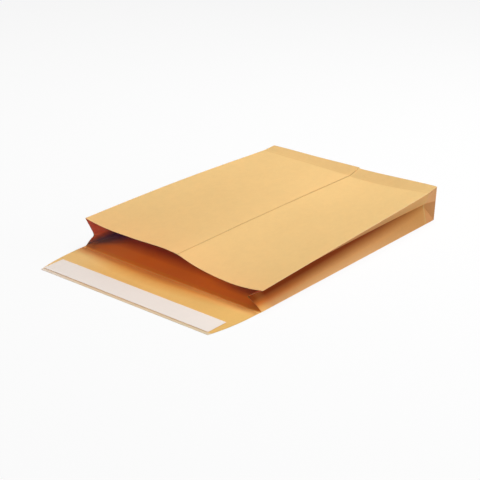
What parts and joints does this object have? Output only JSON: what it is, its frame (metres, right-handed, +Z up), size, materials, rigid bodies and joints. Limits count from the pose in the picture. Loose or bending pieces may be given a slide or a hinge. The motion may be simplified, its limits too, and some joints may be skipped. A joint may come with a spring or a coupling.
{
  "type": "gusseted paper mailer",
  "caption": "Gusseted kraft paper mailing envelope lying open, with a block bottom, a lapped seam and a tapered flap that carries a peel-off sealing strip.",
  "frame": {"origin": "on the table, under the middle of the opened envelope with its flap", "axes": "+Y from the mouth to the closed end, +Z up from the table, +X to the right seen from the mouth"},
  "size_m": [0.2295, 0.3926, 0.04],
  "materials": {
    "kraft_paper": "matte unbleached kraft",
    "seal_adhesive": "tacky, slightly glossy",
    "liner_paper": "smooth coated release paper"
  },
  "bodies": {
    "root": {"kraft_envelope": "kraft_paper", "seal_adhesive": "seal_adhesive", "release_liner": "liner_paper"}
  },
  "joints": []
}
